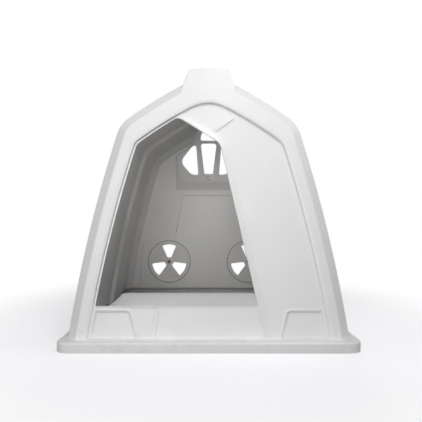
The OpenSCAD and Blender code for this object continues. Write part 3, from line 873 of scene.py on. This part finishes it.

# %% [markdown]
# The line where a disc meets the wall is darkened with painted shade, standing in for the shadow in the gap
# there. It could be painted on a texture. Here its mask depends only on the distance from the disc's axis, so
# it stays at the rim when the disc turns.

# %% Painted shade at the rim of a disc
def disc_plastic(body):
    """The vent sheet with a dark line of painted shade round its rim, for the shadow in the gap at the wall:
    it depends on the distance from the disc's axis, which is the length of a position's part across that
    axis."""
    material = polyethylene(body + "_polyethylene", VENT_WHITE, 0.12, 0.15, 0.38)
    tree = material.node_tree
    shader = tree.nodes["Principled BSDF"]
    place, axis = pivots[body]
    where = node(tree, "TexCoord").outputs["Object"]
    offset = node(tree, "VectorMath", {0: where, 1: tuple(place)}, operation="SUBTRACT").outputs[0]
    across = node(tree, "VectorMath", {0: offset, 1: tuple(axis)}, operation="CROSS_PRODUCT").outputs[0]
    radius = node(tree, "VectorMath", {0: across}, operation="LENGTH").outputs["Value"]
    uneven = remap(tree, noise(tree, where, 60.0), 0.2, 0.5, 0.6, 1)
    rim = times(tree, remap(tree, radius, 0.1715, 0.1755), uneven)
    plain = shader.inputs["Base Color"].links[0].from_socket
    # Painted shade: the band just inside the disc's edge is darkened to stand in for the shadow between disc
    # and wall.
    rim_shade = blend(tree, times(tree, rim, 0.75), plain, (0.20, 0.185, 0.17, 1))
    tree.links.new(rim_shade, shader.inputs["Base Color"])
    return material


disc_plastics = {body: disc_plastic(body) for body in ("left_disc", "right_disc")}
print("disc plastics", list(disc_plastics))

# %% [markdown]
# The bolts, nuts and washers are zinc-plated steel that has gone dull and brown outdoors. The rust
# is a second colour spread by noise. It is rougher and isn't metallic, so one mask drives the
# colour, the roughness and how metallic the surface is.

# %% Weathered steel
def weathered_steel(name):
    """Dull zinc with brown rust in patches, and fine turning marks."""
    material, tree, shader = new_material(name)
    where = node(tree, "TexCoord").outputs["Object"]
    patches = remap(tree, noise(tree, where, 130.0, 6.0, 0.65), 0.42, 0.60)
    fine = noise(tree, where, 900.0, 3.0)
    tarnish = remap(tree, noise(tree, where, 60.0), 0.3, 0.7)
    zinc = blend(tree, tarnish, (0.36, 0.35, 0.33, 1), (0.24, 0.23, 0.22, 1))
    rust = blend(tree, fine, (0.17, 0.080, 0.040, 1), (0.30, 0.165, 0.085, 1))
    tree.links.new(blend(tree, patches, zinc, rust), shader.inputs["Base Color"])
    tree.links.new(remap(tree, patches, 0, 1, 0.85, 0.15), shader.inputs["Metallic"])
    tree.links.new(remap(tree, patches, 0, 1, 0.42, 0.82), shader.inputs["Roughness"])
    bumped(tree, shader, [(patches, 0.0003, 0.5), (fine, 0.00008, 0.6)])
    return material


steel = weathered_steel("weathered_steel")
print("steel", steel.name)

# %% [markdown]
# The shell is the skin made above. The rear border would stand in the shutter's way, so it is
# pressed back to the plane that the plate swings over. A boolean cut would do that too, but it would
# break up the skin's even faces.

# %% The shell
def planed(mesh, body, reach):
    """Presses what stands out past the plane that a plate swings over back to it: within reach of
    the pivot and above it, the distance out along the axis becomes at most 0."""
    points = np.empty(len(mesh.vertices) * 3)
    mesh.vertices.foreach_get("co", points)
    points = points.reshape(-1, 3)
    place, axis = pivots[body]
    offset = points - place
    out = offset @ axis
    swept = (np.linalg.norm(offset - out[:, None] * axis, axis=1) < reach) & (offset[:, 2] > 0.05)
    proud = np.where(swept & (out > -0.03), np.maximum(out + 0.0002, 0), 0)
    mesh.vertices.foreach_set("co", (points - proud[:, None] * axis).ravel())
    mesh.update()
    return int((proud > 0.0003).sum())


SHUTTER_REACH = 0.425
shell_mesh = skin.mesh("shell_skin", (0, -1, 0.3))
print("points pressed down under the shutter", planed(shell_mesh, "shutter", SHUTTER_REACH))
shell = piece(shell_mesh, "shell_moulding", "hutch", ["shell"], moulded)
with_wall(shell, WALL, 0.0012)
print("shell skin", len(shell_mesh.vertices), "points", len(shell_mesh.polygons), "faces")

# %% [markdown]
# Each vent is closed by turning a disc behind the wall. The disc is cut from sheet and stiffened by
# a raised rim and hub. It is made like the shell, as a fill with a height for every point, but the
# height depends only on the distance from its pivot.

# %% Places beside a pivot
def at_pivot(body, across, up, out):
    """Points given across the hutch, up the wall and out along the body's axis, from its pivot."""
    place, axis = pivots[body]
    rise = np.array([0, -axis[2], axis[1]])
    across, up, out = np.broadcast_arrays(across, up, out)
    return place + across[..., None] * [1, 0, 0] + up[..., None] * rise + out[..., None] * axis


DISC = dict(radius=0.1805, thick=0.0033, back=-0.0104, sunk=0.0014, rim=0.154, hub=0.024, hole=0.00606)
PLATE_EDGE = 0.0007


def disc_sink(r):
    """How far the disc's face is sunk at a radius: not at the rim or the hub."""
    return DISC["sunk"] * smooth((r - DISC["hub"]) / 0.004) * smooth((DISC["rim"] + 0.004 - r) / 0.004)


def vent_disc(body):
    """A vent disc: a round fill with three openings, through rings of points at its bends."""
    sheet = Sheet()
    bends = [(0.024, 24), (0.026, 24), (0.028, 24), (0.154, 90),
             (0.156, 90), (0.158, 90), (0.012, 16), (0.170, 60)]
    circles = np.vstack([ring((0, 0), r, n) for r, n in bends])
    sheet.fill(ring((0, 0), DISC["radius"], 120), vent_holes((0, 0), DISC["hole"]),
               lambda x, z: at_pivot(body, x, z, DISC["back"] + disc_sink(np.hypot(x, z))), 0.02, circles)
    return sheet.mesh(body + "_sheet", (0, -1, 0))


for body in ("left_disc", "right_disc"):
    name = "vent_disc_" + body.split("_")[0]
    disc = piece(vent_disc(body), name + "_plate", body, [name], disc_plastics[body])
    with_wall(disc, DISC["thick"], PLATE_EDGE)
    print(disc.name, len(disc.data.polygons), "faces")

# %% [markdown]
# The shutter outside the vent bay is a plate too. It hangs point down at rest, and half a turn
# brings it over the four openings. Two sunk fields leave a raised border and a middle rib.

# %% The shutter
SHUTTER = dict(out=0.0054, thick=0.0032, sunk=0.0015, hole=0.00506)


def shutter_plate():
    """The plate, hanging point down: its outline, with two sunk fields as pads."""
    sheet = Sheet()
    body = "shutter"

    def hang(x, z, sunk=0.0):
        return at_pivot(body, np.asarray(x), -np.asarray(z), SHUTTER["out"] - sunk)

    outline = rounded(mirror_corners([[0.0595, -0.0355, 0.030], [0.2615, 0.020, 0.040],
                                      [0.2615, 0.190, 0.060], [0.090, 0.4005, 0.040]]), 10)
    loops = []
    for side in (1, -1):
        field = [[0.026, 0.040, 0.012], [0.236, 0.042, 0.022], [0.236, 0.182, 0.040], [0.084, 0.370, 0.022],
                 [0.026, 0.372, 0.012]]
        path = [(-0.001, 0), (0.001, 0), (0.003, SHUTTER["sunk"]), (0.005, SHUTTER["sunk"])]
        rings = [rounded(drawn_in(field, a), 8) * [side, 1] for a, _ in path]
        sheet.strip(rows_on(hang, rings, path), closed=True)
        sheet.fill(rings[-1], [], lambda x, z: hang(x, z, SHUTTER["sunk"]))
        loops.append(rings[0])
    sheet.fill(outline, loops + [ring((0, 0), SHUTTER["hole"])], hang, 0.02)
    return sheet.mesh("shutter_sheet", (0, 1, 0))


shutter = piece(shutter_plate(), "ridge_shutter_plate", "shutter",
                ["ridge_shutter"], sheet_plastic)
with_wall(shutter, SHUTTER["thick"], PLATE_EDGE)
print(shutter.name, len(shutter.data.polygons), "faces")

# %% [markdown]
# Bolts, nuts and washers are turned shapes. One function carries a profile round an axis. Where a
# row of the profile is marked as hexagonal, its radius is cut off by the flats, and this alone
# gives a hexagon whose corners are chamfered in arcs, as on real nuts.

# %% Turned and hexagonal pieces
def add_turned(sheet, body, profile, flat=None, closed=False, steps=96):
    """A grid of angle by profile row [out, radius]: each radius is limited to the distance of the
    hexagon's edge in that direction, flat / cos(angle from the nearest flat)."""
    angle = np.linspace(0, 2 * math.pi, steps + 1)[:-1]
    rows = np.array(list(profile) + ([profile[0]] if closed else []), float)
    radius = np.broadcast_to(rows[:, 1:2], (len(rows), steps))
    if flat:
        edge = flat / np.cos((angle + math.pi / 6) % (math.pi / 3) - math.pi / 6)
        radius = np.where(rows[:, 1:2] > 0.95 * flat, np.minimum(radius, edge), radius)
    points = at_pivot(body, radius * np.cos(angle), radius * np.sin(angle), rows[:, :1])
    sheet.strip(points, closed=True)


def washer_profile(low, thick, bore, outer, edge=0.0003):
    """A closed ring section with softened corners."""
    high = low + thick
    return [(low, bore + edge), (low, outer - edge), (low + edge, outer), (high - edge, outer),
            (high, outer - edge), (high, bore + edge), (high - edge, bore), (low + edge, bore)]


def hex_profile(low, high, corner, chamfer=0.0012, tip=True):
    """A hexagon's section from its closed low face to its high face, chamfered at both ends."""
    cut = [(0, 1.6), (0.25, 0.9), (0.6, 0.3), (1, 0)]
    rows = [(low, 0.0)] + [(low + a * chamfer, corner - b * chamfer) for a, b in cut]
    rows += [(high - a * chamfer, corner - b * chamfer) for a, b in reversed(cut)]
    return rows + ([(high, 0.0)] if tip else [])


def thread_profile(low, high, radius, pitch):
    """A shank from low to high, threaded for its outer half: a zigzag of the pitch, with a chamfer."""
    start = (low + high) / 2
    turns = int((high - start - 0.001) / pitch)
    rows = [(low, 0.0), (low, radius), (start, radius)]
    for k in range(turns):
        rows += [(start + pitch * (k + 0.5), radius - 0.6 * pitch), (start + pitch * (k + 1), radius)]
    return rows + [(high - 0.0008, radius), (high, radius - 0.0009), (high, 0.0)]


print("a washer's section has", len(washer_profile(0, 0.0025, 0.006, 0.0144)), "points")

# %% Bolts, nuts and washers of the vents
BOLT, WASHER, NUT, HEAD, GAP = 0.012, 0.0025, 0.010, 0.0075, 0.0005
HEX_CORNER = 0.0104
DISC_FACE = -0.0105
head_low = DISC_FACE - GAP - WASHER


def steel_set(name, replaced, build, bodies=("left_disc", "right_disc")):
    """One piece that holds the same part at the pivot of each of the bodies."""
    sheet = Sheet()
    for body in bodies:
        build(sheet, body)
    mesh = sheet.mesh(name + "_mesh", (0, 1, 0))
    mesh.set_sharp_from_angle(angle=math.radians(35))
    made = piece(mesh, name, "hutch", [replaced], steel)
    print(name, len(mesh.polygons), "faces")
    return made


def bolt(sheet, body):
    """A head inside the hutch, and a shank through disc and wall."""
    add_turned(sheet, body, hex_profile(head_low - HEAD, head_low, HEX_CORNER), flat=0.75 * BOLT)
    add_turned(sheet, body, thread_profile(head_low - 0.001, WASHER + NUT + 0.005, BOLT / 2, 0.00175))


def nut(sheet, body):
    """A hexagon with its bore."""
    low, high, bore, edge = WASHER, WASHER + NUT, BOLT / 2, 0.0006
    rows = hex_profile(low, high, HEX_CORNER, tip=False)[1:]
    rows += [(high, bore + edge), (high - edge, bore), (low + edge, bore), (low, bore + edge)]
    add_turned(sheet, body, rows, flat=0.75 * BOLT, closed=True)


def washer_at(low, bore):
    """A builder of washers that start at low."""
    section = washer_profile(low, WASHER, bore / 2 + 0.0004, 1.2 * bore)
    return lambda sheet, body: add_turned(sheet, body, section, closed=True)


steel_set("vent_bolt_pair", "vent_bolts", bolt)
steel_set("vent_nut_pair", "vent_nuts", nut)
steel_set("vent_head_washer_pair", "vent_head_washers", washer_at(head_low, BOLT))
steel_set("vent_wall_washer_pair", "vent_wall_washers", washer_at(0.0, BOLT))

# %% The shutter's bolt and washers
SHUTTER_BOLT = 0.010
SHUTTER_FACE = 0.0055
KNOB_LONG = 0.018
shutter_head = SHUTTER_FACE + GAP + WASHER
knob_low = -WALL - WASHER - GAP - KNOB_LONG


def shutter_bolt(sheet, body):
    """A head outside the shutter, and a shank that reaches into the knob."""
    add_turned(sheet, body, hex_profile(shutter_head, shutter_head + HEAD, 0.00866), flat=0.75 * SHUTTER_BOLT)
    shank = thread_profile(-(shutter_head + 0.001), -(knob_low + 0.004), SHUTTER_BOLT / 2, 0.0015)
    add_turned(sheet, body, [(-w, r) for w, r in shank])


steel_set("shutter_bolt_steel", "shutter_bolt", shutter_bolt, ["shutter"])
steel_set("shutter_head_washer_steel", "shutter_head_washer",
          washer_at(SHUTTER_FACE + GAP, SHUTTER_BOLT), ["shutter"])
steel_set("shutter_wall_washer_steel", "shutter_wall_washer",
          washer_at(-WALL - WASHER, SHUTTER_BOLT), ["shutter"])

# %% [markdown]
# The knob inside the ridge is a white star with six lobes. Its radius is a cosine of the angle, and
# the lobes fade towards its domed face.

# %% The knob
def knob_mesh():
    """A grid of angle by profile row [out, radius, lobes]: radius plus lobes times cos(6 angle)."""
    rows = np.array([(0.0000, 0.0, 0), (0.0000, 0.006, 0), (0.0006, 0.0105, 0.0002), (0.0018, 0.0145, 0.0006),
                     (0.0038, 0.0168, 0.0010), (0.0065, 0.0176, 0.0012), (0.0135, 0.0176, 0.0012),
                     (0.0160, 0.0170, 0.0011), (0.0174, 0.0158, 0.0009), (0.0180, 0.0135, 0.0004),
                     (0.0180, 0.0062, 0), (0.0174, 0.00508, 0), (0.0036, 0.00508, 0), (0.0036, 0.0, 0)])
    angle = np.linspace(0, 2 * math.pi, 121)[:-1]
    radius = rows[:, 1:2] - rows[:, 2:3] * np.cos(6 * angle)
    sheet = Sheet()
    points = at_pivot("knob", radius * np.cos(angle), radius * np.sin(angle), knob_low + rows[:, :1])
    sheet.strip(points, closed=True)
    mesh = sheet.mesh("knob_mesh", (0, -1, 0))
    mesh.set_sharp_from_angle(angle=math.radians(50))
    return mesh


knob = piece(knob_mesh(), "shutter_knob_star", "knob", ["shutter_knob"], knob_plastic)
print(knob.name, len(knob.data.polygons), "faces")

# %% [markdown]
# ## The studio
# A white object on white needs more light from one side than from the other, or its bends
# disappear. The sky is dim and even, and white only to the camera. The floor turns to white with
# distance, so that no horizon cuts the picture. A painted backdrop would do that too, but it would
# stand in the way of the light from behind.

# %% Floor and sky
def for_camera(tree, camera, others):
    """One shader where the camera looks, and another for all other rays."""
    seen = node(tree, "LightPath").outputs["Is Camera Ray"]
    return node(tree, "MixShader", {0: seen, 1: others.outputs[0], 2: camera.outputs[0]}).outputs[0]


def floor_material():
    """Pale matt floor that goes over to plain white far away, and throws less light back up."""
    material, tree, shader = new_material("studio_floor")
    where = node(tree, "TexCoord").outputs["Object"]
    oval = node(tree, "Mapping", {"Vector": where, "Scale": (1, 0.62, 1)}).outputs[0]
    far = node(tree, "VectorMath", {0: oval}, operation="LENGTH").outputs["Value"]
    grain = noise(tree, where, 40.0)
    ground = blend(tree, grain, (0.84, 0.84, 0.87, 1), (0.88, 0.88, 0.91, 1))
    tree.links.new(ground, shader.inputs["Base Color"])
    shader.inputs["Roughness"].default_value = 0.9
    glow = node(tree, "Emission", {"Color": (1, 1, 1, 1), "Strength": 1.0})
    grey = node(tree, "BsdfDiffuse", {"Color": (0.36, 0.36, 0.36, 1)})
    pale = node(tree, "AddShader", {0: shader.outputs[0],
                                    1: node(tree, "Emission", {"Strength": 0.30}).outputs[0]})
    shown = node(tree, "MixShader", {0: remap(tree, far, 0.80, 1.9), 1: pale.outputs[0], 2: glow.outputs[0]})
    tree.links.new(for_camera(tree, shown, grey), tree.nodes["Material Output"].inputs["Surface"])
    return material


floor_mesh = bpy.data.meshes.new("floor")
floor_mesh.from_pydata([(-40, -40, 0), (40, -40, 0), (40, 40, 0), (-40, 40, 0)], [], [(0, 1, 2, 3)])
floor_mesh.materials.append(floor_material())
floor = in_scene("floor", floor_mesh)
world = bpy.data.worlds.new("studio")
bpy.context.scene.world = world
world.use_nodes = True
sky = world.node_tree
dim = node(sky, "Background", {"Color": (0.97, 0.98, 1.0, 1), "Strength": 0.245})
bright = node(sky, "Background", {"Color": (1, 1, 1, 1), "Strength": 1.0})
sky.links.new(for_camera(sky, bright, dim), sky.nodes["World Output"].inputs["Surface"])
bpy.context.scene.view_settings.view_transform = "Standard"
print("studio ready")

# %% [markdown]
# The right fill is stronger than the left one, and a small key brightens the top of the front wall.
# Lights in front and behind fill the rest. Real walls of this plastic let daylight through. A
# translucent material could show that, but two small lights inside the hutch do it without noise.

# %% Lights and camera
def area_light(name, place, target, size, power, spread=180, color=(1, 1, 1)):
    """A square soft light that faces its target: power in watts, spread in degrees."""
    data = bpy.data.lights.new(name, "AREA")
    data.energy, data.size, data.spread, data.color = power, size, math.radians(spread), color
    light = in_scene(name, data)
    light.location = place
    light.rotation_euler = (Vector(target) - Vector(place)).to_track_quat("-Z", "Y").to_euler()
    light.visible_camera = False


WARM = (1, 0.97, 0.93)
area_light("key", (0.45, -2.7, 2.7), (0, -1.0, 1.2), 1.3, 6.5, spread=70)
area_light("left_fill", (-3.4, -2.0, 1.9), (0, 0, 0.8), 1.6, 22)
area_light("right_fill", (3.2, -1.0, 3.1), (0, 0, 0.9), 1.6, 32)
area_light("door_fill", (-0.5, -4.6, 0.95), (-0.2, 0, 0.7), 1.4, 45)
area_light("back_fill", (0.5, 9.0, 3.5), (0, 0.5, 0.7), 3.0, 230)
area_light("glow_inside", (-0.1, -0.80, 0.85), (-0.1, 1.0, 0.70), 0.4, 0.90, color=WARM)
area_light("glow_ahead", (-0.1, -0.80, 0.85), (-0.1, 1.0, 0.60), 0.4, 0.50, spread=60, color=WARM)
camera_data = bpy.data.cameras.new("camera")
camera = in_scene("camera", camera_data)
camera.location = (0, -3.725, 0.6457)
camera.rotation_euler = (math.radians(90), 0, 0)
camera_data.sensor_width = 36
camera_data.lens = 36 * 557 / 422
camera_data.shift_x, camera_data.shift_y = 0.0055, 0.0166
bpy.context.scene.camera = camera
print("camera at", tuple(round(v, 3) for v in camera.location))
